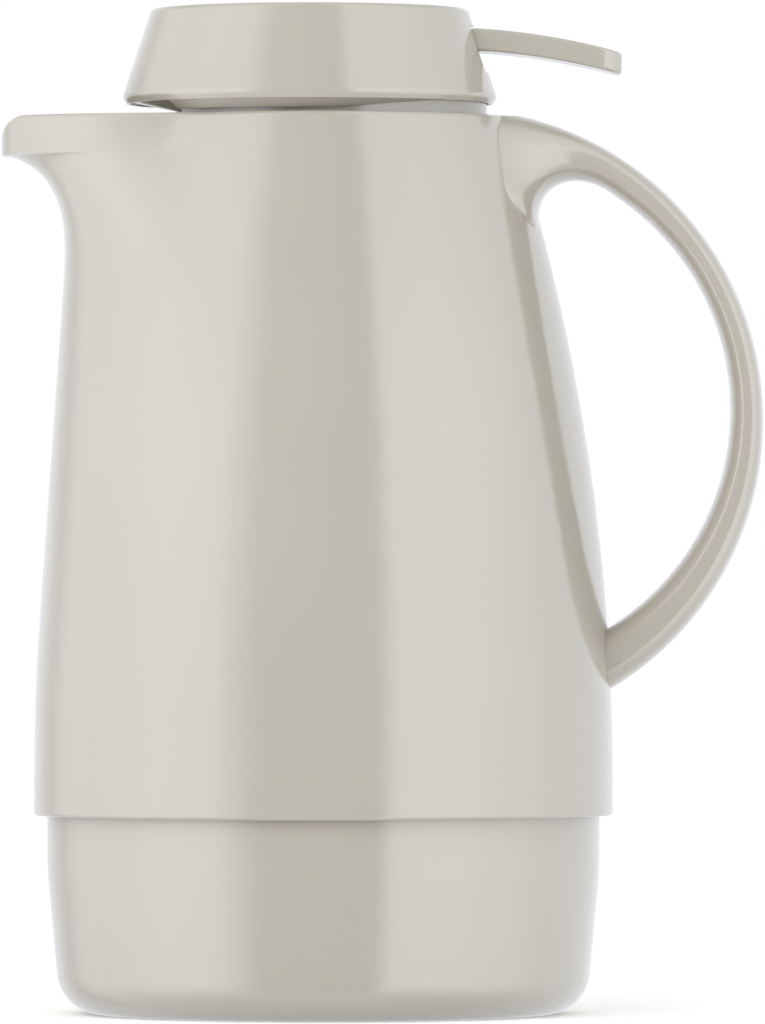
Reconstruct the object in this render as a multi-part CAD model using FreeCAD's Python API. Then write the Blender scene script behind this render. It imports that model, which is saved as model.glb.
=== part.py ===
import FreeCAD, Part
import math
import os

# Thermal jug: a plastic shell with a beak spout and a handle, a vacuum glass flask, a screwed base
# and a screwed stopper whose lid carries a thumb lever that lifts a spring-closed pouring valve.
# Millimetres, +Z up, origin on the jug's axis at the surface it stands on, spout at -X, handle at +X.

# General
OVERRUN = 4.0
SLACK = 0.4
RUNNING_GAP = 0.05
SEAT_GAP = 0.1

# Shell: upright at its lower rim, then one arc up to the top rim
SHELL_RADIUS = 69.0
SHELL_TOP_RADIUS = 44.1
SHELL_HEIGHT = 166.3
SHELL_WALL = 2.8
SHELL_UPRIGHT = 8.7
SHELL_LEDGE = 2.0
RIM_ROUND = 0.9

# Spout: the nose leaves the arc along its tangent, then flares out under the beak
NOSE_RISE = 44.5
FLARE_HEIGHT = 32.0
BEAK_HEIGHT = 9.2
BEAK_REACH = 76.7
BEAK_ROUND = 6.0
LIP_HEIGHT = 3.9
LIP_NOTCH_RADIUS = 7.0
FLARE_RISE_POWER = 3.0
FLARE_TURN_POWER = 0.56
FLANK_FADE_POWER = 3.0
NOSE_HALF_ANGLE = 78.0
FLARE_HALF_ANGLE = 68.0
BEAK_HALF_ANGLE = 50.0
ROUND_POINTS = 48
RIM_SHARES = (0.0, 0.35, 0.7, 1.0)
BEAK_SHARES = (0.0, 0.2, 0.4, 0.6, 0.8, 1.0)
NOSE_SHARES = (0.18, 0.36, 0.54, 0.7, 0.84, 0.93, 1.0)
FLARE_REACH_SHARES = (0.04, 0.12, 0.22, 0.35, 0.5, 0.65, 0.8, 0.9, 1.0)

# Tray and neck inside the shell's top
TRAY_DEPTH = 8.0
TRAY_FLOOR = 2.4
NECK_BORE = 31.2
NECK_WALL = 2.6
NECK_DEPTH = 20.6
NECK_LIP = 2.0
NECK_LIP_REACH = 1.8

# Handle: a ring between two circles, with a rounded root under the rim
HANDLE_REACH = 104.8
HANDLE_OUTER_RADIUS = 74.4
HANDLE_NARROWING = 13.5
HANDLE_THICKNESS = 7.8
HANDLE_HOLE_LIFT = 2.6
HANDLE_LIFT = 0.8
HANDLE_WIDTH = 24.0
ROOT_ROUND = 9.2
HANDLE_SQUARENESS = 2.8
HANDLE_SECTION_POINTS = 48
HANDLE_TURN_SHARES = (0.0, 0.08, 0.18, 0.29, 0.4, 0.52, 0.63, 0.74, 0.82, 0.9, 1.0)
HANDLE_START_ANGLE = 27.4
HANDLE_END_ANGLE = 12.0
ROOT_ANGLES = (14.6, 2.6, -8.4, -17.4)
ROOT_TURN_SHARES = (1.0, 1.0, 0.5, 0.0)
ROOT_WIDTH_SHARES = (2.3, 1.6, 1.17, 1.02)

# Base cup with its spigot
BASE_HEIGHT = 47.3
BASE_WALL = 2.6
BASE_TAPER_HEIGHT = 34.0
BASE_TAPER = 3.2
BASE_TAPER_ROUND = 90.0
FOOT_ROUND = 10.5
FOOT_WIDTH = 8.0
FOOT_DEPTH = 1.6
SPIGOT_STEP = 2.4
SPIGOT_LIFT = 3.6
SPIGOT_HEIGHT = 10.1
SEAL_THICKNESS = 1.4
CUSHION_RADIUS = 36.0
CUSHION_HOLE = 9.0
CUSHION_RIB_WALL = 1.8
CUSHION_RIB_HEIGHT = 4.0

# Screw ridges, three starts each
THREAD_LEAD = 20.0
THREAD_STARTS = 3
RIDGE_SPAN = 40.0
RIDGE_THICKNESS = 2.2
RIDGE_HEIGHT = 1.7
RIDGE_ROOT = 0.5
RIDGE_GAP = 0.3
RIDGE_STATIONS = 7
LID_RIDGE_LIFT = 9.8
BASE_RIDGE_DROP = 3.8

# Glass flask
FLASK_GAP = 11.7
FLASK_LENGTH = 167.0
FLASK_NECK_DROP = 7.0
FLASK_SHOULDER_TILT = 36.3
FLASK_SHOULDER_SHARE = 0.8
FLASK_BOTTOM_ROUND = 30.0
FLASK_NECK_ROUND = 8.0
GLASS_WALL = 1.4
VACUUM_GAP = 3.5
MOUTH_RADIUS = 26.0
MOUTH_RIM = 1.6
MOUTH_RIM_REACH = 5.4
NECK_VACUUM_GAP = 1.2
NIB_RADIUS = 3.0
NIB_LENGTH = 5.0
SPACER_RADIUS = 5.0
SPACER_HEIGHT = 40.0
SPACER_COUNT = 3
GASKET_THICKNESS = 2.0

# Stopper
PLUG_GAP = 0.6
PLUG_WALL = 2.6
PLUG_FLOOR = 2.4
PLUG_GASKET_THICKNESS = 3.2
PLUG_GASKET_WIDTH = 3.3
VALVE_HOLE = 9.0
STOPPER_FLANGE = 2.0
COLLAR_GAP = 2.3
COLLAR_WALL = 2.2
COLLAR_RISE = 3.6
POUR_NOTCH = 40.0

# Lid: a deck plate under a conical cap, both set a little towards the spout
LID_OFFSET = 3.3
LID_RADIUS = 44.6
LID_TOP_RADIUS = 37.7
LID_HEIGHT = 22.6
LID_WALL = 1.8
LID_TOP_WALL = 2.2
LID_RIM_DROP = 0.5
LID_RIM_ROUND = 1.6
LID_TOP_ROUND = 1.4
DECK_THICKNESS = 1.8
DECK_RIB_WALL = 2.0
DECK_RIB_HEIGHT = 3.0
SKIRT_DROP = 2.6
SKIRT_TAPER = 2.5
SKIRT_GAP = 0.8
SKIRT_NOTCH = 52.0
DRIP_TAPER = 13.0
DRIP_BORE = 33.0
LEDGE_WALL = 1.6
LEDGE_HEIGHT = 1.6

# Thumb lever on its pin
PIVOT_REACH = 22.0
PIVOT_HEIGHT = 8.6
PIN_RADIUS = 1.5
POST_WIDTH = 7.0
POST_THICKNESS = 2.6
POST_TOP = 2.9
LEVER_HUB_RADIUS = 4.0
LEVER_WIDTH = 16.0
LEVER_SIDE_GAP = 0.5
LEVER_REACH = 71.1
LEVER_ROOT = 36.0
LEVER_ROOT_HEIGHT = 6.9
LEVER_SAG = 1.0
LEVER_DROP = 5.8
LEVER_THICKNESS = 5.3
LEVER_CORNER = 5.5
LEVER_EDGE = 0.9
PRONG_WIDTH = 2.8
PRONG_NOSE = 2.5
PRONG_GAP = 0.7
SLOT_SIDE_GAP = 0.6
SLOT_ABOVE = 0.7
SLOT_BELOW = 5.2

# Pouring valve
STEM_RADIUS = 2.5
VALVE_RIM = 3.0
VALVE_SEAL_THICKNESS = 2.6
VALVE_DISC_RADIUS = 10.5
VALVE_DISC = 1.4
NUB_RADIUS = 4.5
NUB_HEIGHT = 1.6
SPRING_SEAT_RADIUS = 7.0
SPRING_SEAT = 1.6
HEAD_RADIUS = 7.0
HEAD_THICKNESS = 1.8
GUIDE_RADIUS = 6.5
GUIDE_HEIGHT = 4.4
ORING_RADIUS = 0.9
ORING_GROOVE = 2.0
ORING_LIFT = 1.2
SPRING_RADIUS = 5.2
SPRING_WIRE = 1.0
SPRING_TURNS = 7

# Heights and radii worked out from the sizes above
shell_bottom = BASE_HEIGHT
shell_top = shell_bottom + SHELL_HEIGHT
taper_start = shell_bottom + SHELL_UPRIGHT
taper_height = shell_top - taper_start
taper_depth = SHELL_RADIUS - SHELL_TOP_RADIUS
taper_arc = (taper_height ** 2 + taper_depth ** 2) / (2 * taper_depth)
shell_bore = SHELL_RADIUS - SHELL_WALL
beak_underside = shell_top - BEAK_HEIGHT
flare_start = beak_underside - FLARE_HEIGHT
nose_start = shell_bottom + NOSE_RISE
tray_floor = shell_top - TRAY_DEPTH
tray_underside = tray_floor - TRAY_FLOOR
neck_lip_bottom = tray_floor - NECK_DEPTH - NECK_LIP
neck_lip_bore = NECK_BORE - NECK_LIP_REACH
glass_top = neck_lip_bottom - GASKET_THICKNESS
flask_bottom = glass_top - FLASK_LENGTH
flask_radius = shell_bore - FLASK_GAP
flask_neck = MOUTH_RADIUS + 2 * GLASS_WALL + NECK_VACUUM_GAP
handle_inner_radius = HANDLE_OUTER_RADIUS - HANDLE_NARROWING
base_radius = shell_bore - SLACK
base_floor = FOOT_DEPTH + BASE_WALL
spigot_radius = base_radius - SPIGOT_STEP
spigot_bottom = BASE_HEIGHT + SPIGOT_LIFT
spigot_top = spigot_bottom + SPIGOT_HEIGHT
ledge_bottom = spigot_top + SEAL_THICKNESS
plug_radius = neck_lip_bore - PLUG_GAP
plug_bore = plug_radius - PLUG_WALL
plug_bottom = glass_top + PLUG_GASKET_THICKNESS
plug_floor = plug_bottom + PLUG_FLOOR
flange_bottom = tray_floor + 2 * SLACK
flange_top = flange_bottom + STOPPER_FLANGE
collar_radius = SHELL_TOP_RADIUS - SHELL_WALL - COLLAR_GAP
collar_top = shell_top + COLLAR_RISE
deck_top = collar_top + DECK_THICKNESS
lid_bottom = collar_top - LID_RIM_DROP
lid_top = lid_bottom + LID_HEIGHT
pivot_height = deck_top + PIVOT_HEIGHT
post_inside = LEVER_WIDTH / 2 + LEVER_SIDE_GAP
valve_radius = VALVE_HOLE + VALVE_RIM
disc_bottom = plug_floor + VALVE_SEAL_THICKNESS
disc_top = disc_bottom + VALVE_DISC
spring_bottom = disc_top + SPRING_SEAT
head_bottom = pivot_height + PRONG_NOSE + SEAT_GAP
head_top = head_bottom + HEAD_THICKNESS


def mid_point(place):
    """A point on the jug's middle plane, given as (x, z)."""
    return FreeCAD.Vector(place[0], 0, place[1])


def tube(inner, outer, bottom, top, x=0):
    """An upright ring or, with no inner radius, a disc."""
    place = FreeCAD.Vector(x, 0, bottom)
    ring = Part.makeCylinder(outer, top - bottom, place)
    if inner > 0:
        ring = ring.cut(Part.makeCylinder(inner, top - bottom, place))
    return ring


def cross_rod(radius, x, z, width):
    """A rod along Y, centred on the jug's middle plane."""
    return Part.makeCylinder(radius, width, FreeCAD.Vector(x, -width / 2, z), FreeCAD.Vector(0, 1, 0))


def block(x0, x1, y0, y1, z0, z1):
    """A box between two corners."""
    return Part.makeBox(x1 - x0, y1 - y0, z1 - z0, FreeCAD.Vector(x0, y0, z0))


def rounded_wire(corners):
    """A closed outline in the XZ plane through (x, z, corner radius) corners."""
    edges = []
    starts = []
    ends = []
    arcs = []
    for index, (x, z, radius) in enumerate(corners):
        corner = mid_point((x, z))
        before = mid_point(corners[index - 1][:2]) - corner
        after = mid_point(corners[(index + 1) % len(corners)][:2]) - corner
        if radius == 0:
            starts.append(corner)
            ends.append(corner)
            arcs.append(None)
            continue
        before.normalize()
        after.normalize()
        half = before.getAngle(after) / 2
        middle = before + after
        middle.normalize()
        starts.append(corner + before * (radius / math.tan(half)))
        ends.append(corner + after * (radius / math.tan(half)))
        arcs.append(corner + middle * (radius / math.sin(half) - radius))
    for index in range(len(corners)):
        if arcs[index] is not None:
            edges.append(Part.Arc(starts[index], arcs[index], ends[index]).toShape())
        following = starts[(index + 1) % len(corners)]
        if ends[index].distanceToPoint(following) > Part.Precision.confusion():
            edges.append(Part.LineSegment(ends[index], following).toShape())
    return Part.Wire(edges)


def turned(corners):
    """A solid of revolution about Z from an outline of (radius, z, corner radius) corners."""
    face = Part.Face(rounded_wire(corners))
    return face.revolve(FreeCAD.Vector(0, 0, 0), FreeCAD.Vector(0, 0, 1), 360)


def extruded(corners, width):
    """A side outline of (x, z, corner radius) corners, extruded along Y about the middle plane."""
    face = Part.Face(rounded_wire(corners))
    face.translate(FreeCAD.Vector(0, -width / 2, 0))
    return face.extrude(FreeCAD.Vector(0, width, 0))


def ridges(inner, outer, middle):
    """Screw ridges: short right-hand helices, their mid height at each start's angle."""
    found = []
    for start in range(THREAD_STARTS):
        wires = []
        for station in range(RIDGE_STATIONS):
            turn = RIDGE_SPAN * station / (RIDGE_STATIONS - 1) - RIDGE_SPAN / 2
            bottom = middle + THREAD_LEAD * turn / 360 - RIDGE_THICKNESS / 2
            top = bottom + RIDGE_THICKNESS
            loop = [(inner, bottom), (outer, bottom), (outer, top), (inner, top), (inner, bottom)]
            wire = Part.makePolygon([mid_point(point) for point in loop])
            angle = turn + start * 360 / THREAD_STARTS
            wire.rotate(FreeCAD.Vector(0, 0, 0), FreeCAD.Vector(0, 0, 1), angle)
            wires.append(wire)
        found.append(Part.makeLoft(wires, True, False))
    return found


def round_radius(z):
    """The shell's outer radius at the back and sides."""
    rise = min(max(z - taper_start, 0), taper_height)
    return SHELL_RADIUS - taper_arc + math.sqrt(taper_arc ** 2 - rise ** 2)


def nose_line(z):
    """The straight front line: the tangent of the taper's arc at the nose's start."""
    rise = nose_start - taper_start
    slope = rise / math.sqrt(taper_arc ** 2 - rise ** 2)
    return round_radius(nose_start) - slope * (z - nose_start)


def flare_rise(reach_share):
    """The height at which the flare under the beak has come out by this share of its reach."""
    turned_share = 1 - (1 - reach_share) ** (1 / FLARE_TURN_POWER)
    return flare_start + FLARE_HEIGHT * turned_share ** (1 / FLARE_RISE_POWER)


def front_reach(z):
    """How far the shell's front stands from the axis."""
    if z <= nose_start:
        return round_radius(z)
    if z <= flare_start:
        return nose_line(z)
    share = min((z - flare_start) / FLARE_HEIGHT, 1)
    out = 1 - (1 - share ** FLARE_RISE_POWER) ** FLARE_TURN_POWER
    return nose_line(min(z, beak_underside)) * (1 - out) + BEAK_REACH * out


def flank_reach(z):
    """The reach that the beak's flanks follow: a slow rise from the flare's start to the top rim."""
    rise = min(max(z - flare_start, 0) / (shell_top - flare_start), 1)
    out = rise * rise * (3 - 2 * rise)
    return nose_line(min(z, beak_underside)) * (1 - out) + BEAK_REACH * out


def nose_half_angle(z):
    """How far round the axis the nose is felt, each way from the front."""
    if z <= flare_start:
        share = max(z - nose_start, 0) / (flare_start - nose_start)
        return NOSE_HALF_ANGLE + (FLARE_HALF_ANGLE - NOSE_HALF_ANGLE) * share
    share = min((z - flare_start) / FLARE_HEIGHT, 1)
    return FLARE_HALF_ANGLE + (BEAK_HALF_ANGLE - FLARE_HALF_ANGLE) * share


def shell_section(z, inset, shape_z):
    """A level section of the shell at z, with the shape it has at shape_z, drawn in by inset."""
    points = []
    back = round_radius(shape_z)
    front = front_reach(shape_z)
    flank = front if shape_z <= flare_start else flank_reach(shape_z)
    half_angle = nose_half_angle(shape_z)
    for index in range(ROUND_POINTS):
        angle = 360 * index / ROUND_POINTS
        from_front = abs(angle - 180)
        share = 0
        if from_front < half_angle:
            share = math.cos(math.radians(90 * from_front / half_angle)) ** 2
        reach = flank + (front - flank) * share ** FLANK_FADE_POWER
        radius = back + (reach - back) * share - inset
        turn = math.radians(angle)
        points.append(FreeCAD.Vector(radius * math.cos(turn), radius * math.sin(turn), z))
    curve = Part.BSplineCurve()
    curve.interpolate(points, PeriodicFlag=True)
    return Part.Wire([curve.toShape()])


def rim_inset(share):
    """How far the top rim's rounding draws the section in, at this share of its height."""
    return RIM_ROUND * (1 - math.sqrt(1 - share ** 2))


def shell_levels():
    """The heights of the shell's sections between the upright rim and the beak."""
    levels = [taper_start, (taper_start + nose_start) / 2, nose_start]
    levels += [nose_start + (flare_start - nose_start) * share for share in NOSE_SHARES]
    return levels + [flare_rise(share) for share in FLARE_REACH_SHARES]


def shell_outside():
    """The shell's outer form as a full solid: the upright rim, the wall up to the beak, the beak."""
    upright = (shell_bottom + RIM_ROUND, taper_start)
    beak = [beak_underside + (BEAK_HEIGHT - RIM_ROUND) * share for share in BEAK_SHARES]
    whole = Part.makeLoft([shell_section(level, 0, level) for level in shell_levels()], True, False)
    for levels in (upright, beak):
        wires = [shell_section(level, 0, level) for level in levels]
        whole = whole.fuse(Part.makeLoft(wires, True, levels is upright))
    for rim, inward in ((shell_bottom, 1), (shell_top, -1)):
        wires = []
        for share in RIM_SHARES:
            level = rim + inward * RIM_ROUND * (1 - share)
            wires.append(shell_section(level, rim_inset(share), level))
        whole = whole.fuse(Part.makeLoft(wires, True, False))
    return whole


def shell_inside():
    """The hollow below the tray: the outer form, one wall in and one wall up."""
    levels = [shell_bottom - OVERRUN, taper_start]
    levels += [level + SHELL_WALL for level in shell_levels()[1:]]
    kept = [level for level in levels if level < tray_underside - SHELL_WALL]
    wires = []
    for level in kept + [tray_underside]:
        wires.append(shell_section(level, SHELL_WALL, max(level - SHELL_WALL, shell_bottom)))
    return Part.makeLoft(wires, True, False)


def tray_hollow():
    """The tray and the spout's channel, open at the top, with a floor that climbs to the lip."""
    levels = [tray_floor, (tray_floor + shell_top) / 2, shell_top, shell_top + OVERRUN]
    wires = [shell_section(level, SHELL_WALL, min(level, shell_top)) for level in levels]
    hollow = Part.makeLoft(wires, True, True)
    lip = beak_underside + LIP_HEIGHT
    ramp_foot = -SHELL_TOP_RADIUS
    ramp_below = tray_floor - OVERRUN
    ramp = extruded([(ramp_foot, tray_floor, 0), (-BEAK_REACH, lip, 0), (-BEAK_REACH, ramp_below, 0),
                     (ramp_foot, ramp_below, 0)], 2 * BEAK_REACH)
    return hollow.cut(ramp)


def lip_cutters():
    """The beak's rounded upper corner in side view, and the notch that the drink leaves by."""
    x = -BEAK_REACH + BEAK_ROUND
    z = shell_top - BEAK_ROUND
    corner = block(-BEAK_REACH - OVERRUN, x, -BEAK_REACH, BEAK_REACH, z, shell_top + OVERRUN)
    corner = corner.cut(cross_rod(BEAK_ROUND, x, z, 4 * BEAK_REACH))
    notch_height = beak_underside + LIP_HEIGHT + LIP_NOTCH_RADIUS
    notch_start = FreeCAD.Vector(-BEAK_REACH - OVERRUN, 0, notch_height)
    notch = Part.makeCylinder(LIP_NOTCH_RADIUS, BEAK_ROUND + OVERRUN, notch_start, FreeCAD.Vector(1, 0, 0))
    return [corner, notch]


def outer_shell(outside):
    """The jug's shell: wall, spout, tray, neck tube, seal ledge and screw ridges."""
    shell = outside
    for cutter in [shell_inside(), tray_hollow()] + lip_cutters():
        shell = shell.cut(cutter)
    neck = tube(NECK_BORE, NECK_BORE + NECK_WALL, neck_lip_bottom, tray_floor)
    lip = tube(neck_lip_bore, NECK_BORE + NECK_WALL, neck_lip_bottom, neck_lip_bottom + NECK_LIP)
    ledge_top = ledge_bottom + SHELL_LEDGE
    ledge = tube(spigot_radius - BASE_WALL, shell_bore + RIDGE_ROOT, ledge_bottom, ledge_top)
    female_lid = lid_ridge_height() + RIDGE_THICKNESS + RIDGE_GAP
    found = ridges(NECK_BORE - RIDGE_HEIGHT, NECK_BORE + RIDGE_ROOT, female_lid)
    female_base = base_ridge_height() - RIDGE_THICKNESS - RIDGE_GAP
    found += ridges(shell_bore - RIDGE_HEIGHT, shell_bore + RIDGE_ROOT, female_base)
    shell = shell.cut(tube(0, NECK_BORE, tray_underside - OVERRUN, tray_floor + OVERRUN))
    return shell.fuse([neck, lip, ledge] + found)


def lid_ridge_height():
    """Mid height of the stopper's own ridges."""
    return plug_bottom + LID_RIDGE_LIFT


def base_ridge_height():
    """Mid height of the spigot's own ridges."""
    return spigot_top - BASE_RIDGE_DROP


def root_round_centre(hole_x, hole_z):
    """Centre of the round between the hole's circle and the shell's back, found by halving."""
    low = hole_z
    high = shell_top
    while high - low > Part.Precision.confusion():
        z = (low + high) / 2
        away = math.hypot(round_radius(z) + ROOT_ROUND - hole_x, z - hole_z)
        if away < handle_inner_radius - ROOT_ROUND:
            low = z
        else:
            high = z
    return round_radius(low) + ROOT_ROUND, low


def on_circle(x, z, radius, angle):
    """A point of a circle in the middle plane, at an angle from +X."""
    turn = math.radians(angle)
    return mid_point((x + radius * math.cos(turn), z + radius * math.sin(turn)))


def shell_meeting_angle(ring_x, ring_z):
    """The angle at which the handle's outer circle meets the shell's lower wall, found by halving."""
    outside = 0
    within = -180
    while outside - within > Part.Precision.angular():
        angle = (outside + within) / 2
        point = on_circle(ring_x, ring_z, HANDLE_OUTER_RADIUS, angle)
        if point.x > round_radius(point.z):
            outside = angle
        else:
            within = angle
    return outside


def handle_section(outer, inner, half_width):
    """A squarish oval between an outer and an inner edge point of the handle."""
    middle = (outer + inner) / 2
    reach = (outer - inner) / 2
    points = []
    for index in range(HANDLE_SECTION_POINTS):
        turn = 2 * math.pi * index / HANDLE_SECTION_POINTS
        along = math.copysign(abs(math.cos(turn)) ** (2 / HANDLE_SQUARENESS), math.cos(turn))
        across = math.copysign(abs(math.sin(turn)) ** (2 / HANDLE_SQUARENESS), math.sin(turn))
        points.append(middle + reach * along + FreeCAD.Vector(0, half_width * across, 0))
    curve = Part.BSplineCurve()
    curve.interpolate(points, PeriodicFlag=True)
    return Part.Wire([curve.toShape()])


def handle(outside):
    """The handle: a loft round the ring, wider at its root, cut to sit on the shell."""
    ring_x = HANDLE_REACH - HANDLE_OUTER_RADIUS
    ring_z = shell_top + HANDLE_LIFT - math.sqrt(HANDLE_OUTER_RADIUS ** 2 - (SHELL_TOP_RADIUS - ring_x) ** 2)
    hole_x = HANDLE_REACH - HANDLE_THICKNESS - handle_inner_radius
    hole_z = ring_z + HANDLE_HOLE_LIFT
    rim_angle = math.degrees(math.acos((SHELL_TOP_RADIUS - ring_x) / HANDLE_OUTER_RADIUS))
    first = rim_angle - HANDLE_START_ANGLE
    last = shell_meeting_angle(ring_x, ring_z) - HANDLE_END_ANGLE
    round_x, round_z = root_round_centre(hole_x, hole_z)
    touch_angle = math.degrees(math.atan2(round_z - hole_z, round_x - hole_x))
    wires = []
    for angle, turn, width in zip(ROOT_ANGLES, ROOT_TURN_SHARES, ROOT_WIDTH_SHARES):
        outer = on_circle(ring_x, ring_z, HANDLE_OUTER_RADIUS, rim_angle + angle)
        inner = on_circle(round_x, round_z, ROOT_ROUND, touch_angle + (180 - touch_angle) * turn)
        if not wires:
            inner = inner - FreeCAD.Vector(ROOT_ROUND, 0, 0)
        wires.append(handle_section(outer, inner, width * HANDLE_WIDTH / 2))
    for share in HANDLE_TURN_SHARES:
        angle = first + (last - first) * share
        outer = on_circle(ring_x, ring_z, HANDLE_OUTER_RADIUS, angle)
        inner = on_circle(hole_x, hole_z, handle_inner_radius, angle)
        wires.append(handle_section(outer, inner, HANDLE_WIDTH / 2))
    bar = Part.makeLoft(wires, True, False)
    below_rim = block(0, HANDLE_REACH + OVERRUN, -HANDLE_REACH, HANDLE_REACH, 0, shell_top)
    pieces = bar.common(below_rim).cut(outside)
    return max(pieces.Solids, key=lambda solid: solid.BoundBox.XMax)


def base_cup():
    """The base: a foot ring, a tapered cup, a stepped spigot with screw ridges, a cushion rib."""
    foot_radius = base_radius - BASE_TAPER
    foot_bore = foot_radius - FOOT_ROUND - FOOT_WIDTH
    inner = base_radius - BASE_WALL
    spigot_bore = spigot_radius - BASE_WALL
    step = spigot_bottom - BASE_WALL
    cup = turned([
        (0, FOOT_DEPTH, 0), (foot_bore - FOOT_DEPTH, FOOT_DEPTH, 0), (foot_bore, 0, 0),
        (foot_radius, 0, FOOT_ROUND), (base_radius, BASE_TAPER_HEIGHT, BASE_TAPER_ROUND),
        (base_radius, spigot_bottom, 0), (spigot_radius, spigot_bottom, 0),
        (spigot_radius, spigot_top, 0), (spigot_bore, spigot_top, 0), (spigot_bore, step, 0),
        (inner, step, 0), (inner, BASE_TAPER_HEIGHT, BASE_TAPER_ROUND),
        (foot_radius - BASE_WALL, base_floor, FOOT_ROUND - BASE_WALL), (0, base_floor, 0)])
    rib_bore = CUSHION_RADIUS + SEAT_GAP
    rib = tube(rib_bore, rib_bore + CUSHION_RIB_WALL, base_floor, base_floor + CUSHION_RIB_HEIGHT)
    found = ridges(spigot_radius - RIDGE_ROOT, spigot_radius + RIDGE_HEIGHT, base_ridge_height())
    return cup.fuse([rib] + found)


def support_cushion():
    """A soft ring in the base that the flask's rounded bottom stands in."""
    centre_r = flask_radius - FLASK_BOTTOM_ROUND
    centre_z = flask_bottom + FLASK_BOTTOM_ROUND
    ring = tube(CUSHION_HOLE, CUSHION_RADIUS, base_floor, centre_z)
    room = turned(flask_corners(-SLACK, MOUTH_RADIUS, glass_top))
    bottom_round = FLASK_BOTTOM_ROUND + SLACK
    top = centre_z - math.sqrt(bottom_round ** 2 - (CUSHION_RADIUS - centre_r) ** 2)
    return ring.common(tube(0, CUSHION_RADIUS, base_floor, top)).cut(room)


def base_seal():
    """A flat ring between the spigot and the shell's ledge."""
    return tube(spigot_radius - BASE_WALL, spigot_radius, spigot_top, ledge_bottom)


def flask_corners(offset, neck, top):
    """Outline of a glass wall's surface, lying offset inside the flask's outer surface."""
    tilt = math.radians(FLASK_SHOULDER_TILT)
    corner = math.tan(math.pi / 4 + tilt / 2)
    level = glass_top - FLASK_NECK_DROP - offset / math.cos(tilt)
    wall = flask_radius - offset
    wall_z = level - math.tan(tilt) * (wall - flask_neck)
    neck_z = level + math.tan(tilt) * (flask_neck - neck)
    bottom = flask_bottom + offset
    neck_round = FLASK_NECK_ROUND + flask_neck - neck
    slope = (flask_radius - flask_neck) / math.cos(tilt)
    shoulder_round = FLASK_SHOULDER_SHARE * (slope * corner - FLASK_NECK_ROUND)
    return [(0, bottom, 0), (wall, bottom, FLASK_BOTTOM_ROUND - offset),
            (wall, wall_z, shoulder_round - offset), (neck, neck_z, neck_round),
            (neck, top, 0), (0, top, 0)]


def inner_flask():
    """The glass bottle that holds the drink, with the mouth's rim that both glasses share."""
    offset = GLASS_WALL + VACUUM_GAP
    body = turned(flask_corners(offset, MOUTH_RADIUS + GLASS_WALL, glass_top))
    rim = tube(MOUTH_RADIUS, MOUTH_RADIUS + MOUTH_RIM_REACH, glass_top - MOUTH_RIM, glass_top)
    hollow = turned(flask_corners(offset + GLASS_WALL, MOUTH_RADIUS, glass_top + OVERRUN))
    return body.fuse(rim).cut(hollow)


def outer_flask():
    """The glass envelope round the vacuum, with the nib where it was sealed."""
    top = glass_top - MOUTH_RIM
    body = turned(flask_corners(0, flask_neck, top))
    hollow = turned(flask_corners(GLASS_WALL, flask_neck - GLASS_WALL, top + OVERRUN))
    nib = Part.makeCone(NIB_RADIUS / 2, NIB_RADIUS, NIB_LENGTH,
                        FreeCAD.Vector(0, 0, flask_bottom - NIB_LENGTH))
    return body.cut(hollow).fuse(nib)


def flask_spacers():
    """Small pads that keep the two glasses apart."""
    inner = flask_radius - GLASS_WALL - VACUUM_GAP
    level = flask_bottom + SPACER_HEIGHT
    reach = SPACER_RADIUS + OVERRUN
    gap = tube(inner, inner + VACUUM_GAP, level - reach, level + reach)
    pads = []
    for index in range(SPACER_COUNT):
        angle = math.radians(360 * index / SPACER_COUNT)
        outward = FreeCAD.Vector(math.cos(angle), math.sin(angle), 0)
        rod = Part.makeCylinder(SPACER_RADIUS, flask_radius, FreeCAD.Vector(0, 0, level), outward)
        pads.append(gap.common(rod).Solids[0])
    return Part.makeCompound(pads)


def neck_gasket():
    """A soft ring between the glass mouth and the shell's neck."""
    return tube(neck_lip_bore, MOUTH_RADIUS + MOUTH_RIM_REACH, glass_top, neck_lip_bottom)


def pour_gap(width, bottom, top):
    """The room in front of the stopper that the drink leaves by."""
    return block(-SHELL_RADIUS, 0, -width / 2, width / 2, bottom, top)


def stopper_body():
    """The stopper: a plug with a valve hole, a flange and a collar open towards the spout."""
    plug = turned([
        (VALVE_HOLE, plug_bottom, 0), (plug_radius, plug_bottom, 0), (plug_radius, flange_bottom, 0),
        (collar_radius, flange_bottom, 0), (collar_radius, collar_top, 0),
        (collar_radius - COLLAR_WALL, collar_top, 0), (collar_radius - COLLAR_WALL, flange_top, 0),
        (plug_bore, flange_top, 0), (plug_bore, plug_floor, 0), (VALVE_HOLE, plug_floor, 0)])
    plug = plug.cut(pour_gap(POUR_NOTCH, flange_top, collar_top + OVERRUN))
    return plug.fuse(ridges(plug_radius - RIDGE_ROOT, plug_radius + RIDGE_HEIGHT, lid_ridge_height()))


def stopper_gasket():
    """A soft ring under the plug that closes the glass mouth."""
    return tube(plug_radius - PLUG_GASKET_WIDTH, plug_radius, glass_top, plug_bottom)


def lid_underside(taper):
    """A cone under the lid's deck, as deep as the skirt, drawn in by this taper at its bottom."""
    place = FreeCAD.Vector(-LID_OFFSET, 0, collar_top - SKIRT_DROP)
    return Part.makeCone(lid_bore() - taper, lid_bore(), SKIRT_DROP, place)


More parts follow.
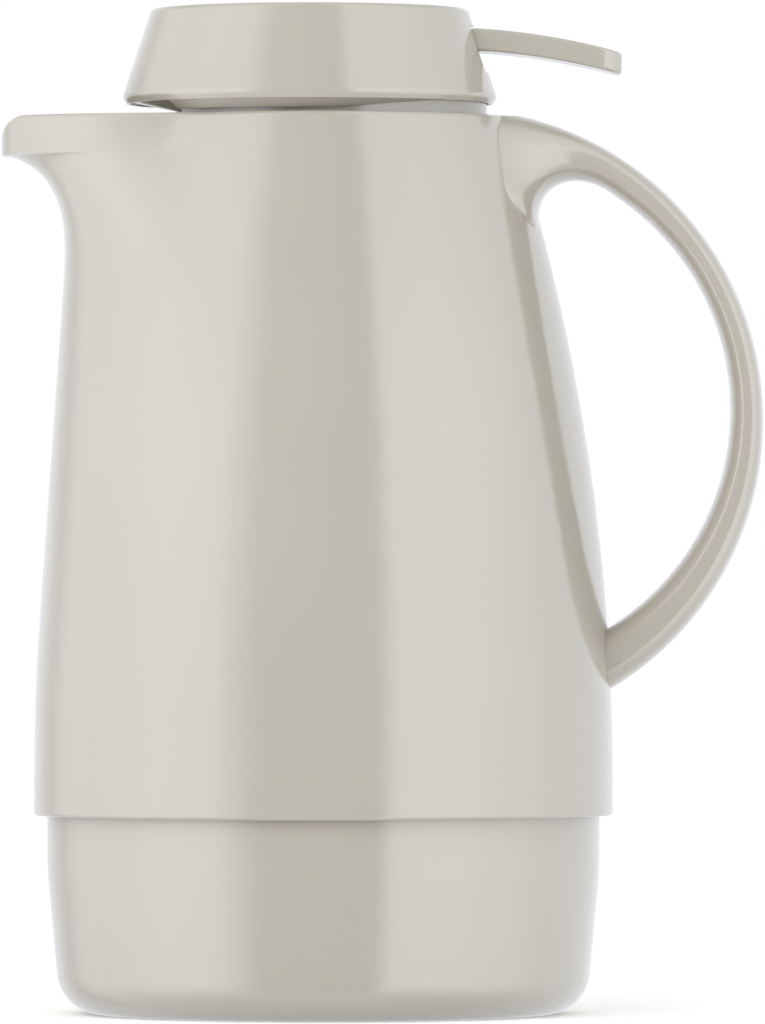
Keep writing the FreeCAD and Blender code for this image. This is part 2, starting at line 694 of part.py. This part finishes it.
def lid_base():
    """The deck of the lid: a plate with a skirt, a drip slope towards the spout, a locating rib,
    a stem guide and bearing posts."""
    plate = tube(0, lid_bore(), collar_top, deck_top, -LID_OFFSET)
    rib_radius = collar_radius - COLLAR_WALL - SEAT_GAP
    rib = tube(rib_radius - DECK_RIB_WALL, rib_radius, collar_top - DECK_RIB_HEIGHT, collar_top)
    below = collar_top - 2 * DECK_RIB_HEIGHT
    front = pour_gap(POUR_NOTCH, below, collar_top)
    drip = lid_underside(DRIP_TAPER)
    skirt = lid_underside(SKIRT_TAPER).cut(pour_gap(SKIRT_NOTCH, below, collar_top)).fuse(drip)
    skirt = skirt.cut(tube(0, collar_radius + SKIRT_GAP, below, collar_top))
    drip = drip.common(front).cut(tube(0, DRIP_BORE, below, collar_top))
    guide = tube(0, GUIDE_RADIUS, deck_top, deck_top + GUIDE_HEIGHT)
    posts = []
    for side in (-1, 1):
        y = side * (post_inside + POST_THICKNESS / 2)
        half = POST_WIDTH / 2
        posts.append(block(PIVOT_REACH - half, PIVOT_REACH + half, y - POST_THICKNESS / 2,
                           y + POST_THICKNESS / 2, deck_top, pivot_height + POST_TOP))
    deck = plate.fuse([rib.cut(front), skirt, drip, guide] + posts)
    groove_bottom = deck_top + ORING_LIFT
    guide_bore = STEM_RADIUS + RUNNING_GAP
    bore = tube(0, guide_bore, collar_top - OVERRUN, deck_top + GUIDE_HEIGHT + OVERRUN)
    groove = tube(0, guide_bore + 2 * ORING_RADIUS, groove_bottom, groove_bottom + ORING_GROOVE)
    pin_hole = cross_rod(PIN_RADIUS, PIVOT_REACH, pivot_height, 4 * LEVER_WIDTH)
    return deck.cut([bore, groove, pin_hole])


def lid_bore():
    """Radius of the deck plate, a seat gap inside the cap's rim."""
    return LID_RADIUS - LID_WALL - SEAT_GAP


def lid_cap():
    """The conical cap: a round-edged shell with a ledge on the deck and a slot for the lever."""
    inner_top = lid_top - LID_TOP_WALL
    rim = LID_RADIUS - LID_WALL
    cap = turned([
        (0, lid_top, 0), (LID_TOP_RADIUS, lid_top, LID_TOP_ROUND),
        (LID_RADIUS, lid_bottom + LID_RIM_ROUND, LID_RIM_ROUND),
        (LID_RADIUS - LID_WALL / 2, lid_bottom, 0), (rim, lid_bottom, 0), (rim, deck_top, 0),
        (rim - LEDGE_WALL, deck_top, 0), (rim - LEDGE_WALL, deck_top + LEDGE_HEIGHT, 0),
        (LID_TOP_RADIUS - LID_WALL, inner_top, 0), (0, inner_top, 0)])
    cap.translate(FreeCAD.Vector(-LID_OFFSET, 0, 0))
    half = LEVER_WIDTH / 2 + SLOT_SIDE_GAP
    slot_top = pivot_height + LEVER_ROOT_HEIGHT + SLOT_ABOVE
    slot_bottom = pivot_height + LEVER_ROOT_HEIGHT - LEVER_THICKNESS - SLOT_BELOW
    return cap.cut(block(PIVOT_REACH, LID_RADIUS, -half, half, slot_bottom, slot_top))


def lever_pin():
    """The pin through both posts and the lever."""
    return cross_rod(PIN_RADIUS, PIVOT_REACH, pivot_height, 2 * (post_inside + POST_THICKNESS))


def lever_tongue():
    """The outer tongue in side view: a curved bar from the hub out to its rounded tip."""
    top = pivot_height + LEVER_ROOT_HEIGHT
    root_top = mid_point((LEVER_ROOT, top))
    tip_top = mid_point((LEVER_REACH, top - LEVER_DROP))
    middle_top = (root_top + tip_top) / 2 + FreeCAD.Vector(0, 0, LEVER_SAG)
    down = FreeCAD.Vector(0, 0, -LEVER_THICKNESS)
    hub_top = mid_point((PIVOT_REACH, pivot_height + LEVER_HUB_RADIUS))
    hub_bottom = mid_point((PIVOT_REACH, pivot_height - LEVER_HUB_RADIUS))
    edges = [
        Part.Arc(root_top, middle_top, tip_top).toShape(),
        Part.LineSegment(tip_top, tip_top + down).toShape(),
        Part.Arc(tip_top + down, middle_top + down, root_top + down).toShape(),
        Part.LineSegment(root_top + down, hub_bottom).toShape(),
        Part.LineSegment(hub_bottom, hub_top).toShape(),
        Part.LineSegment(hub_top, root_top).toShape()]
    face = Part.Face(Part.Wire(edges))
    face.translate(FreeCAD.Vector(0, -LEVER_WIDTH / 2, 0))
    return face.extrude(FreeCAD.Vector(0, LEVER_WIDTH, 0))


def thumb_lever():
    """The lever: tongue, hub and two prongs that lift the stem's head."""
    half = LEVER_WIDTH / 2
    low = pivot_height - LEVER_HUB_RADIUS - OVERRUN
    tongue = lever_tongue()
    for side in (-1, 1):
        centre_x = LEVER_REACH - LEVER_CORNER
        centre_y = side * (half - LEVER_CORNER)
        near, far = sorted((centre_y, side * (half + OVERRUN)))
        corner = block(centre_x, LEVER_REACH + OVERRUN, near, far, low, lid_top)
        keep = Part.makeCylinder(LEVER_CORNER, lid_top - low, FreeCAD.Vector(centre_x, centre_y, low))
        tongue = tongue.cut(corner.cut(keep))
    edges = [edge for edge in tongue.Edges if edge.BoundBox.XMin > LEVER_ROOT - LEVER_EDGE
             and edge.BoundBox.ZLength + edge.BoundBox.XLength + edge.BoundBox.YLength > LEVER_EDGE
             and not is_upright(edge)]
    tongue = tongue.makeFillet(LEVER_EDGE, edges)
    pieces = [cross_rod(LEVER_HUB_RADIUS, PIVOT_REACH, pivot_height, LEVER_WIDTH)]
    for side in (-1, 1):
        y = side * (STEM_RADIUS + PRONG_GAP + PRONG_WIDTH / 2)
        arm = block(0, PIVOT_REACH, y - PRONG_WIDTH / 2, y + PRONG_WIDTH / 2,
                    pivot_height - PRONG_NOSE, pivot_height + PRONG_NOSE)
        nose = cross_rod(PRONG_NOSE, 0, pivot_height, PRONG_WIDTH)
        nose.translate(FreeCAD.Vector(0, y, 0))
        pieces += [arm, nose]
    lever = tongue.fuse(pieces)
    return lever.cut(cross_rod(PIN_RADIUS + RUNNING_GAP, PIVOT_REACH, pivot_height, 2 * LEVER_WIDTH))


def is_upright(edge):
    """Whether an edge runs straight up."""
    box = edge.BoundBox
    return box.ZLength > LEVER_EDGE and box.XLength + box.YLength < LEVER_EDGE / 10


def valve_stem():
    """The stem with the disc that presses the seal and the nub that holds it on."""
    rod = tube(0, STEM_RADIUS, plug_floor - NUB_HEIGHT, head_top)
    disc = tube(0, VALVE_DISC_RADIUS, disc_bottom, disc_top)
    nub = tube(0, NUB_RADIUS, plug_floor - NUB_HEIGHT, plug_floor)
    return rod.fuse([disc, nub])


def valve_seal():
    """The soft disc that closes the plug's hole."""
    return tube(STEM_RADIUS, valve_radius, plug_floor, disc_bottom)


def spring_seat():
    """A washer between the valve disc and the spring."""
    return tube(STEM_RADIUS, SPRING_SEAT_RADIUS, disc_top, spring_bottom)


def stem_head():
    """The head on the stem that the lever's prongs lift."""
    return tube(STEM_RADIUS, HEAD_RADIUS, head_bottom, head_top)


def stem_oring():
    """The ring in the guide's groove."""
    ring = Part.makeTorus(STEM_RADIUS + RUNNING_GAP + ORING_RADIUS, ORING_RADIUS)
    ring.translate(FreeCAD.Vector(0, 0, deck_top + ORING_LIFT + ORING_GROOVE / 2))
    return ring


def valve_spring():
    """A coil between the washer and the deck's underside."""
    pitch = (collar_top - spring_bottom - SPRING_WIRE) / SPRING_TURNS
    bottom = spring_bottom + SPRING_WIRE / 2

    def on_coil(quarters):
        turn = quarters * math.pi / 2
        return FreeCAD.Vector(
            SPRING_RADIUS * math.cos(turn), SPRING_RADIUS * math.sin(turn), bottom + pitch * quarters / 4)

    edges = []
    for quarter in range(4 * SPRING_TURNS):
        points = [on_coil(quarter + step / 2) for step in range(3)]
        edges.append(Part.Arc(*points).toShape())
    path = Part.Wire(edges)
    start = edges[0].tangentAt(edges[0].FirstParameter)
    ring = Part.Wire([Part.makeCircle(SPRING_WIRE / 2, on_coil(0), start)])
    coil = path.makePipeShell([ring], True, False)
    print("spring volume over section times length",
          round(coil.Volume / (math.pi * SPRING_WIRE ** 2 / 4 * path.Length), 4))
    return coil


def main():
    os.makedirs("parts", exist_ok=True)
    outside = shell_outside()
    nodes = {
        "outer_shell": outer_shell(outside), "handle": handle(outside), "neck_gasket": neck_gasket(),
        "inner_flask": inner_flask(), "outer_flask": outer_flask(), "flask_spacers": flask_spacers(),
        "base_cup": base_cup(), "support_cushion": support_cushion(), "base_seal": base_seal(),
        "stopper_body": stopper_body(), "stopper_gasket": stopper_gasket(), "lid_base": lid_base(),
        "lid_cap": lid_cap(), "lever_pin": lever_pin(), "thumb_lever": thumb_lever(),
        "valve_stem": valve_stem(), "valve_seal": valve_seal(), "spring_seat": spring_seat(),
        "stem_head": stem_head(), "valve_spring": valve_spring(), "stem_oring": stem_oring()}
    for name, shape in nodes.items():
        shape.exportStep("parts/" + name + ".step")
        print(name, len(shape.Solids), shape.isValid(), round(shape.Volume))


main()
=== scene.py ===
import bpy
import math
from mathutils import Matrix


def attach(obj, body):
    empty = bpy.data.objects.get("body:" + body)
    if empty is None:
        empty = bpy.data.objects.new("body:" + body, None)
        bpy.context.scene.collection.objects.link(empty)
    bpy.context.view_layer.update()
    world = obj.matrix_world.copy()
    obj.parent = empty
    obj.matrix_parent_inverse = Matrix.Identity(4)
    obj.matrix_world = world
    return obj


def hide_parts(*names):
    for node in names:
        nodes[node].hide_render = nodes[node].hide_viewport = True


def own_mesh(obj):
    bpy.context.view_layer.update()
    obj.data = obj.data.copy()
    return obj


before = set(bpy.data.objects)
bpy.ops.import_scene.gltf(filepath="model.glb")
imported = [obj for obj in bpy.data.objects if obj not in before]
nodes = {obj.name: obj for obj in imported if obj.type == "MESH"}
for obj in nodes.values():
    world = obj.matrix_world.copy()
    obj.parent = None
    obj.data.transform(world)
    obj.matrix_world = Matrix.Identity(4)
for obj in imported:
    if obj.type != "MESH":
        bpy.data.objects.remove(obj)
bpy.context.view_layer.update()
bpy.context.scene.view_settings.view_transform = "Standard"

# Base cup: the jug's foot, a glossy beige-grey moulding that screws up into the shell.
# Every outer piece is made of this plastic, so its finish is made here: an even colour, a
# polished skin with faint handling smears, and the slight ripple of a moulding.
MOULDING_COLOUR = (0.52, 0.49, 0.425, 1.0)
MOULDING_ROUGHNESS = 0.13
MOULDING_IOR = 1.5
TINT_SCALE = 14.0
TINT_SPREAD = 0.015
SMEAR_SCALE = 55.0
RIPPLE_SCALE = 260.0
RIPPLE_STRENGTH = 0.5
NOISE_LOW = 0.3
NOISE_HIGH = 0.7


def link_nodes(tree, from_node, from_socket, to_node, to_socket):
    tree.links.new(from_node.outputs[from_socket], to_node.inputs[to_socket])


def skin_noise(tree, coordinates, scale, detail, roughness):
    noise = tree.nodes.new("ShaderNodeTexNoise")
    noise.inputs["Scale"].default_value = scale
    noise.inputs["Detail"].default_value = detail
    noise.inputs["Roughness"].default_value = roughness
    link_nodes(tree, coordinates, "Object", noise, "Vector")
    return noise


def noise_between(tree, noise, low, high):
    scaled = tree.nodes.new("ShaderNodeMapRange")
    scaled.inputs["From Min"].default_value = NOISE_LOW
    scaled.inputs["From Max"].default_value = NOISE_HIGH
    scaled.inputs["To Min"].default_value = low
    scaled.inputs["To Max"].default_value = high
    link_nodes(tree, noise, "Fac", scaled, "Value")
    return scaled


def moulded_skin_group():
    group = bpy.data.node_groups.new("moulded_skin", "ShaderNodeTree")
    sockets = group.interface
    sockets.new_socket("Colour", in_out="INPUT", socket_type="NodeSocketColor")
    sockets.new_socket("Roughness", in_out="INPUT", socket_type="NodeSocketFloat")
    sockets.new_socket("Smears", in_out="INPUT", socket_type="NodeSocketFloat")
    sockets.new_socket("Colour", in_out="OUTPUT", socket_type="NodeSocketColor")
    sockets.new_socket("Roughness", in_out="OUTPUT", socket_type="NodeSocketFloat")
    sockets.new_socket("Ripple", in_out="OUTPUT", socket_type="NodeSocketFloat")
    given = group.nodes.new("NodeGroupInput")
    result = group.nodes.new("NodeGroupOutput")
    coordinates = group.nodes.new("ShaderNodeTexCoord")
    broad = skin_noise(group, coordinates, TINT_SCALE, detail=2.0, roughness=0.5)
    shade = noise_between(group, broad, low=1 - TINT_SPREAD, high=1 + TINT_SPREAD)
    tint = group.nodes.new("ShaderNodeMix")
    tint.data_type = "RGBA"
    tint.blend_type = "MULTIPLY"
    tint.inputs["Factor"].default_value = 1.0
    link_nodes(group, given, "Colour", tint, "A")
    link_nodes(group, shade, "Result", tint, "B")
    link_nodes(group, tint, "Result", result, "Colour")
    smear = skin_noise(group, coordinates, SMEAR_SCALE, detail=5.0, roughness=0.62)
    spread = noise_between(group, smear, low=-1.0, high=1.0)
    worn = group.nodes.new("ShaderNodeMath")
    worn.operation = "MULTIPLY_ADD"
    link_nodes(group, spread, "Result", worn, 0)
    link_nodes(group, given, "Smears", worn, 1)
    link_nodes(group, given, "Roughness", worn, 2)
    link_nodes(group, worn, "Value", result, "Roughness")
    ripple = skin_noise(group, coordinates, RIPPLE_SCALE, detail=1.0, roughness=0.4)
    link_nodes(group, ripple, "Fac", result, "Ripple")
    return group


moulded_skin = moulded_skin_group()


def set_shader(material, socket, value):
    material.node_tree.nodes["Principled BSDF"].inputs[socket].default_value = value


def skin_finish(name, colour, roughness, smears, ripple):
    material = bpy.data.materials.new(name)
    material.use_nodes = True
    tree = material.node_tree
    shader = tree.nodes["Principled BSDF"]
    skin = tree.nodes.new("ShaderNodeGroup")
    skin.node_tree = moulded_skin
    skin.inputs["Colour"].default_value = colour
    skin.inputs["Roughness"].default_value = roughness
    skin.inputs["Smears"].default_value = smears
    bump = tree.nodes.new("ShaderNodeBump")
    bump.inputs["Distance"].default_value = ripple
    bump.inputs["Strength"].default_value = RIPPLE_STRENGTH
    link_nodes(tree, skin, "Colour", shader, "Base Color")
    link_nodes(tree, skin, "Roughness", shader, "Roughness")
    link_nodes(tree, skin, "Ripple", bump, "Height")
    link_nodes(tree, bump, "Normal", shader, "Normal")
    set_shader(material, "IOR", MOULDING_IOR)
    return material


def finish_node(node, material):
    nodes[node].material_slots[0].material = material


beige_gloss = skin_finish("beige_gloss", MOULDING_COLOUR, MOULDING_ROUGHNESS, smears=0.02, ripple=0.00002)
finish_node("base_cup", beige_gloss)

# Glass support: a moulded ring of soft black rubber that lies inside the base's rib, with a seat
# that follows the glass's rounded bottom, drain grooves across the seat and rounded edges.
SUPPORT_FLOOR = 0.0042
SUPPORT_SEAT = 0.0136
SUPPORT_HOLE = 0.009
SUPPORT_RADIUS = 0.036
SUPPORT_STEPS = 72
SEAT_CUTS = 8
FLASK_FLAT_RADIUS = 0.0245
FLASK_ROUND = 0.0304
GROOVE_STEPS = 9
GROOVE_INNER = 0.012
GROOVE_OUTER = 0.033
GROOVE_DEPTH = 0.0015
FACING_UP = 0.5
SUPPORT_EDGE = 0.0006
EDGE_ANGLE = math.radians(50)
SMOOTH_ANGLE = math.radians(40)
SEAM_MERGE = 0.00001
POINT_MERGE = 0.000005
RUBBER_COLOUR = (0.035, 0.034, 0.033, 1.0)


def turn_about_axis(piece, steps, turns=1, rise=0.0):
    turning = piece.modifiers.new("turning", "SCREW")
    turning.axis = "Z"
    turning.steps = steps
    turning.render_steps = steps
    turning.iterations = turns
    turning.screw_offset = rise
    turning.use_merge_vertices = rise == 0
    turning.merge_threshold = SEAM_MERGE
    bpy.ops.object.modifier_apply(modifier=turning.name)


def outward_normals():
    bpy.ops.object.mode_set(mode="EDIT")
    bpy.ops.mesh.select_all(action="SELECT")
    bpy.ops.mesh.remove_doubles(threshold=POINT_MERGE)
    bpy.ops.mesh.normals_make_consistent(inside=False)
    bpy.ops.object.mode_set(mode="OBJECT")


bpy.ops.object.select_all(action="DESELECT")
bpy.ops.mesh.primitive_plane_add(
    size=1.0, location=((SUPPORT_HOLE + SUPPORT_RADIUS) / 2, 0, (SUPPORT_FLOOR + SUPPORT_SEAT) / 2),
    rotation=(math.radians(90), 0, 0))
glass_support = bpy.context.object
glass_support.name = "glass_support"
glass_support.scale = (SUPPORT_RADIUS - SUPPORT_HOLE, SUPPORT_SEAT - SUPPORT_FLOOR, 1.0)
bpy.ops.object.transform_apply(location=True, rotation=True, scale=True)
bpy.ops.object.mode_set(mode="EDIT")
bpy.ops.mesh.select_all(action="SELECT")
bpy.ops.mesh.delete(type="ONLY_FACE")
bpy.ops.mesh.select_all(action="SELECT")
bpy.ops.mesh.subdivide(number_cuts=SEAT_CUTS)
bpy.ops.object.mode_set(mode="OBJECT")
for point in glass_support.data.vertices:
    beyond = max(point.co.x - FLASK_FLAT_RADIUS, 0)
    height_share = (point.co.z - SUPPORT_FLOOR) / (SUPPORT_SEAT - SUPPORT_FLOOR)
    point.co.z += height_share * (FLASK_ROUND - math.sqrt(FLASK_ROUND ** 2 - beyond ** 2))
turn_about_axis(glass_support, SUPPORT_STEPS)
outward_normals()
for face in glass_support.data.polygons:
    turn = math.atan2(face.center.y, face.center.x) / math.tau % 1.0
    reach = math.hypot(face.center.x, face.center.y)
    in_groove = int(turn * SUPPORT_STEPS) % GROOVE_STEPS == 0 and GROOVE_INNER < reach < GROOVE_OUTER
    face.select = in_groove and face.normal.z > FACING_UP
bpy.ops.object.mode_set(mode="EDIT")
bpy.ops.mesh.select_mode(type="FACE")
bpy.ops.mesh.extrude_region_move(TRANSFORM_OT_translate={"value": (0, 0, -GROOVE_DEPTH)})
bpy.ops.mesh.select_mode(type="VERT")
bpy.ops.object.mode_set(mode="OBJECT")
rounding = glass_support.modifiers.new("rounding", "BEVEL")
rounding.width = SUPPORT_EDGE
rounding.segments = 2
rounding.limit_method = "ANGLE"
rounding.angle_limit = EDGE_ANGLE
bpy.ops.object.modifier_apply(modifier=rounding.name)
bpy.ops.object.shade_smooth_by_angle(angle=SMOOTH_ANGLE)
black_rubber = skin_finish("black_rubber", RUBBER_COLOUR, roughness=0.62, smears=0.06, ripple=0.00006)
glass_support.data.materials.append(black_rubber)
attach(glass_support, "base")
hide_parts("support_cushion")

# Seals: soft rings of milky silicone, pressed between base and shell, glass and neck, stopper
# and glass, under the valve's disc, and in the guide round its stem.
SILICONE_COLOUR = (0.66, 0.65, 0.61, 1.0)
SILICONE_GLOW_THROUGH = 0.15
silicone = skin_finish("silicone", SILICONE_COLOUR, roughness=0.45, smears=0.05, ripple=0.00003)
set_shader(silicone, "Subsurface Weight", SILICONE_GLOW_THROUGH)
for seal in ("base_seal", "neck_gasket", "stopper_gasket", "valve_seal", "stem_oring"):
    finish_node(seal, silicone)

# Glass flask: two blown glasses, one inside the other and sealed at the mouth. Both are silvered
# on the side of the vacuum between them, so they look like mirrors under a clear skin.
SILVER_COLOUR = (0.83, 0.83, 0.81, 1.0)
GLASS_SKIN_ROUGHNESS = 0.02
silvered_glass = skin_finish("silvered_glass", SILVER_COLOUR, roughness=0.06, smears=0.03, ripple=0.00004)
set_shader(silvered_glass, "Metallic", 1.0)
set_shader(silvered_glass, "Coat Weight", 1.0)
set_shader(silvered_glass, "Coat Roughness", GLASS_SKIN_ROUGHNESS)
for glass in ("inner_flask", "outer_flask"):
    finish_node(glass, silvered_glass)

# Spacer pads: three small discs of pressed fibre, held between the two glasses to keep them
# apart low down, where the inner one hangs free.
FIBRE_COLOUR = (0.42, 0.38, 0.32, 1.0)
fibre = skin_finish("pressed_fibre", FIBRE_COLOUR, roughness=0.9, smears=0.05, ripple=0.0002)
finish_node("flask_spacers", fibre)

# Shell, handle and stopper: the tapered shell with its spout, the crescent handle on its back and
# the stopper that screws into its neck, in the same glossy moulding as the base.
for outer in ("outer_shell", "handle", "stopper_body"):
    finish_node(outer, beige_gloss)

# Valve pieces: the stem with its disc, the washer under the spring and the head that the lever
# lifts. They are moulded in a plain satin plastic and slide in the lid's guide.
SATIN_COLOUR = (0.58, 0.56, 0.5, 1.0)
satin = skin_finish("satin_plastic", SATIN_COLOUR, roughness=0.38, smears=0.05, ripple=0.00005)
for inner in ("valve_stem", "spring_seat", "stem_head"):
    finish_node(inner, satin)

# Lever pin and valve spring: drawn stainless steel. The spring is a round-wire coil between the
# washer on the valve and the deck's underside, and is squeezed when the valve lifts.
STEEL_COLOUR = (0.55, 0.55, 0.54, 1.0)
SPRING_RADIUS = 0.0052
SPRING_WIRE = 0.001
SPRING_FOOT = 0.1927
SPRING_HEAD = 0.2167
SPRING_TURNS = 7
WIRE_SIDES = 12
COIL_STEPS = 32
steel = skin_finish("drawn_steel", STEEL_COLOUR, roughness=0.28, smears=0.08, ripple=0.00002)
set_shader(steel, "Metallic", 1.0)
finish_node("lever_pin", steel)
bpy.ops.object.select_all(action="DESELECT")
bpy.ops.mesh.primitive_circle_add(
    vertices=WIRE_SIDES, radius=SPRING_WIRE / 2, location=(SPRING_RADIUS, 0, SPRING_FOOT),
    rotation=(math.radians(90), 0, 0))
coil_spring = bpy.context.object
coil_spring.name = "coil_spring"
bpy.ops.object.transform_apply(location=True, rotation=True, scale=True)
turn_about_axis(coil_spring, COIL_STEPS, SPRING_TURNS, (SPRING_HEAD - SPRING_FOOT) / SPRING_TURNS)
bpy.ops.object.mode_set(mode="EDIT")
bpy.ops.mesh.select_all(action="SELECT")
bpy.ops.mesh.fill_holes(sides=0)
bpy.ops.object.mode_set(mode="OBJECT")
outward_normals()
bpy.ops.object.shade_smooth_by_angle(angle=SMOOTH_ANGLE)
coil_spring.data.materials.append(steel)
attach(coil_spring, "lid")
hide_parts("valve_spring")
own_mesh(coil_spring)

# Lid: the deck with its sloping underside over the shell's rim, the conical cap that sits on it
# by a ledge, and the thumb lever that turns on the pin, all in the glossy moulding.
for lid_piece in ("lid_base", "lid_cap", "thumb_lever"):
    finish_node(lid_piece, beige_gloss)

# Floor: a plain pale table top, white where it is looked at, that keeps the jug's soft shadow.
# It is left out of the reflections, where the studio below shows an even table instead.
FLOOR_SIZE = 30.0
FLOOR_COLOUR = (0.93, 0.93, 0.93, 1.0)
FLOOR_ROUGHNESS = 0.9
FLOOR_GLOW = 0.26
WHITE = (1.0, 1.0, 1.0, 1.0)
bpy.ops.object.select_all(action="DESELECT")
bpy.ops.mesh.primitive_plane_add(size=FLOOR_SIZE, location=(0, 0, 0))
floor = bpy.context.object
floor.name = "floor"
floor.visible_glossy = False
pale_table = bpy.data.materials.new("pale_table")
pale_table.use_nodes = True
set_shader(pale_table, "Base Color", FLOOR_COLOUR)
set_shader(pale_table, "Roughness", FLOOR_ROUGHNESS)
set_shader(pale_table, "Specular IOR Level", 0.0)
set_shader(pale_table, "Emission Color", WHITE)
table_tree = pale_table.node_tree
table_path = table_tree.nodes.new("ShaderNodeLightPath")
table_glow = table_tree.nodes.new("ShaderNodeMath")
table_glow.operation = "MULTIPLY"
table_glow.inputs[1].default_value = FLOOR_GLOW
link_nodes(table_tree, table_path, "Is Camera Ray", table_glow, 0)
link_nodes(table_tree, table_glow, "Value", table_tree.nodes["Principled BSDF"], "Emission Strength")
floor.data.materials.append(pale_table)

# Studio: an even white room. What polished surfaces mirror is set apart from it: walls that are
# bright to both sides of the viewer, dark where the viewer stands, dimmer at the back and higher
# up, and an even table below.
ROOM_FILL = 0.84
# Each pair is an angle round the jug from the viewer, in degrees, and the wall's brightness there.
WALL_BRIGHTNESS = (
    (-180, 1.0), (-155, 1.15), (-138, 0.9), (-125, 1.9), (-114, 2.4), (-95, 3.1), (-70, 4.1), (-46, 4.0),
    (-26, 0.3), (22, 0.3), (30, 4.1), (60, 4.5), (90, 3.6), (104, 2.6), (121, 2.0), (140, 1.55), (180, 1.0))
BRIGHTEST_WALL = 5.0
WALL_TINT = (0.96, 0.985, 1.06)
# Each pair is a height, from 0 straight down to 1 straight up, and the share of light or table there.
HEIGHT_SHARES = ((0.64, 1.0), (0.82, 0.64), (1.0, 0.5))
TABLE_SHARES = ((0.1, 1.0), (0.3, 0.0))
MIRRORED_TABLE = 1.4
PLAIN_TINT = (1.0, 1.0, 1.0)
room = bpy.data.worlds.new("room")
bpy.context.scene.world = room
room.use_nodes = True
room_tree = room.node_tree


def room_math(operation, *values):
    step = room_tree.nodes.new("ShaderNodeMath")
    step.operation = operation
    for index, value in enumerate(values):
        if isinstance(value, float):
            step.inputs[index].default_value = value
        else:
            room_tree.links.new(value, step.inputs[index])
    return step.outputs["Value"]


def tinted(tint, level):
    return [part * level for part in tint] + [1.0]


def brightness_ramp(place, levels, tint):
    ramp = room_tree.nodes.new("ShaderNodeValToRGB")
    room_tree.links.new(place, ramp.inputs["Fac"])
    stops = ramp.color_ramp.elements
    while len(stops) < len(levels):
        stops.new(0.5)
    for stop, (position, level) in zip(stops, levels):
        stop.position = position
        stop.color = tinted(tint, level)
    return ramp


direction = room_tree.nodes.new("ShaderNodeTexCoord")
along = room_tree.nodes.new("ShaderNodeSeparateXYZ")
link_nodes(room_tree, direction, "Generated", along, "Vector")
towards_viewer = room_math("MULTIPLY", along.outputs["Y"], -1.0)
bearing = room_math("ARCTAN2", along.outputs["X"], towards_viewer)
round_share = room_math("MULTIPLY_ADD", bearing, 1 / math.tau, 0.5)
wall_stops = [(angle / 360 + 0.5, level / BRIGHTEST_WALL) for angle, level in WALL_BRIGHTNESS]
walls = brightness_ramp(round_share, wall_stops, WALL_TINT)
upward_share = room_math("MULTIPLY_ADD", along.outputs["Z"], 0.5, 0.5)
heights = brightness_ramp(upward_share, HEIGHT_SHARES, PLAIN_TINT)
mirrored_strength = room_math("MULTIPLY", heights.outputs["Color"], BRIGHTEST_WALL)
table_seen = brightness_ramp(upward_share, TABLE_SHARES, PLAIN_TINT)
table_mix = room_tree.nodes.new("ShaderNodeMix")
table_mix.data_type = "RGBA"
table_mix.inputs["B"].default_value = tinted(WALL_TINT, MIRRORED_TABLE / BRIGHTEST_WALL)
link_nodes(room_tree, table_seen, "Color", table_mix, "Factor")
link_nodes(room_tree, walls, "Color", table_mix, "A")
mirrored_room = room_tree.nodes.new("ShaderNodeBackground")
link_nodes(room_tree, table_mix, "Result", mirrored_room, "Color")
room_tree.links.new(mirrored_strength, mirrored_room.inputs["Strength"])
room_path = room_tree.nodes.new("ShaderNodeLightPath")
seen = room_math("MAXIMUM", room_path.outputs["Is Camera Ray"], room_path.outputs["Is Transmission Ray"])
plain_strength = room_math("MULTIPLY_ADD", seen, 1 - ROOM_FILL, ROOM_FILL)
plain_room = room_tree.nodes["Background"]
plain_room.inputs["Color"].default_value = WHITE
room_tree.links.new(plain_strength, plain_room.inputs["Strength"])
room_mix = room_tree.nodes.new("ShaderNodeMixShader")
link_nodes(room_tree, room_path, "Is Glossy Ray", room_mix, "Fac")
link_nodes(room_tree, plain_room, "Background", room_mix, 1)
link_nodes(room_tree, mirrored_room, "Background", room_mix, 2)
link_nodes(room_tree, room_mix, "Shader", room_tree.nodes["World Output"], "Surface")

# Lamp: one broad soft panel beyond the viewer's left shoulder, for the soft shadow.
# It isn't mirrored, because the studio's walls already stand for what the plastic mirrors.
PANEL_SIZE = 1.4
PANEL_WATTS = 7.0
PANEL_PLACE = (-0.6, -1.3, 0.9)
PANEL_TILT = math.radians(62)
PANEL_TURN = math.radians(-25)
panel_light = bpy.data.lights.new("soft_panel", "AREA")
panel_light.shape = "SQUARE"
panel_light.size = PANEL_SIZE
panel_light.energy = PANEL_WATTS
panel = bpy.data.objects.new("soft_panel", panel_light)
panel.location = PANEL_PLACE
panel.rotation_euler = (PANEL_TILT, 0, PANEL_TURN)
panel.visible_glossy = False
bpy.context.scene.collection.objects.link(panel)

# Camera: level with the jug's lower middle and far off with a long lens, as in the photograph.
# It looks up by the small rise of its aim over the distance.
CAMERA_DISTANCE = 2.86
CAMERA_ASIDE = 0.01406
CAMERA_HEIGHT = 0.105
CAMERA_RISE = 0.0145
CAMERA_FILM = 24.0
CAMERA_LENS = 281.25
CAMERA_FAR = 50.0
camera_data = bpy.data.cameras.new("camera")
camera_data.sensor_fit = "VERTICAL"
camera_data.sensor_height = CAMERA_FILM
camera_data.lens = CAMERA_LENS
camera_data.clip_end = CAMERA_FAR
camera = bpy.data.objects.new("camera", camera_data)
camera.location = (CAMERA_ASIDE, -CAMERA_DISTANCE, CAMERA_HEIGHT)
camera.rotation_euler = (math.radians(90) + math.atan2(CAMERA_RISE, CAMERA_DISTANCE), 0, 0)
bpy.context.scene.collection.objects.link(camera)
bpy.context.scene.camera = camera
